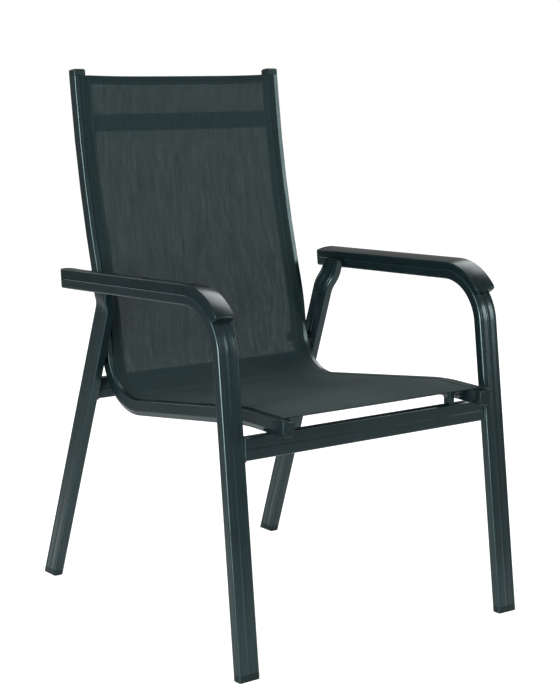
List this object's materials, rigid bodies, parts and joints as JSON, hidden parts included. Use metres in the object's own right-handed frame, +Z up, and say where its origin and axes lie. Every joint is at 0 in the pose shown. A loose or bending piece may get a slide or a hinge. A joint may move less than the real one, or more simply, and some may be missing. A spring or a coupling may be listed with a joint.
{
  "type": "sling patio chair",
  "caption": "Stacking patio armchair of bent grooved tube, with a stretched mesh seat and back, moulded arm pads and plugged feet.",
  "frame": {"origin": "on the floor, at the middle of the chair's overall width and depth", "axes": "+Z up; the sitter faces -Y, so the seat's front edge is at -Y; +X is the sitter's left"},
  "size_m": [0.6138, 0.7112, 0.9504],
  "materials": {
    "powder_coat": "satin powder coat on aluminium",
    "mesh_fabric": "woven mesh, matt",
    "cap_plastic": "moulded, matt",
    "arm_plastic": "moulded, satin",
    "rod_plastic": "extruded, matt",
    "zinc_steel": "zinc plated"
  },
  "bodies": {
    "root": {"arm_end_plug_left": "cap_plastic", "arm_end_plug_right": "cap_plastic", "arm_pad_left": "arm_plastic", "arm_pad_right": "arm_plastic", "front_bolt_left": "zinc_steel", "front_bolt_right": "zinc_steel", "front_crossbar": "powder_coat", "front_foot_left": "cap_plastic", "front_foot_right": "cap_plastic", "front_post_left": "powder_coat", "front_post_right": "powder_coat", "front_rivet_nut_left": "zinc_steel", "front_rivet_nut_right": "zinc_steel", "front_spacer_left": "zinc_steel", "front_spacer_right": "zinc_steel", "keder_rod_left": "rod_plastic", "keder_rod_right": "rod_plastic", "pad_screw_front_left": "zinc_steel", "pad_screw_front_right": "zinc_steel", "pad_screw_rear_left": "zinc_steel", "pad_screw_rear_right": "zinc_steel", "rail_front_cap_left": "cap_plastic", "rail_front_cap_right": "cap_plastic", "rail_top_cap_left": "cap_plastic", "rail_top_cap_right": "cap_plastic", "rear_bolt_cap_left": "cap_plastic", "rear_bolt_cap_right": "cap_plastic", "rear_bolt_left": "zinc_steel", "rear_bolt_right": "zinc_steel", "rear_crossbar": "powder_coat", "rear_foot_left": "cap_plastic", "rear_foot_right": "cap_plastic", "rear_leg_left": "powder_coat", "rear_leg_lid_left": "powder_coat", "rear_leg_lid_right": "powder_coat", "rear_leg_right": "powder_coat", "rear_rivet_nut_left": "zinc_steel", "rear_rivet_nut_right": "zinc_steel", "rear_spacer_left": "cap_plastic", "rear_spacer_right": "cap_plastic", "side_tube_left": "powder_coat", "side_tube_right": "powder_coat", "sling": "mesh_fabric", "sling_rail_left": "powder_coat", "sling_rail_right": "powder_coat", "upper_spreader_bar": "powder_coat"}
  },
  "joints": []
}
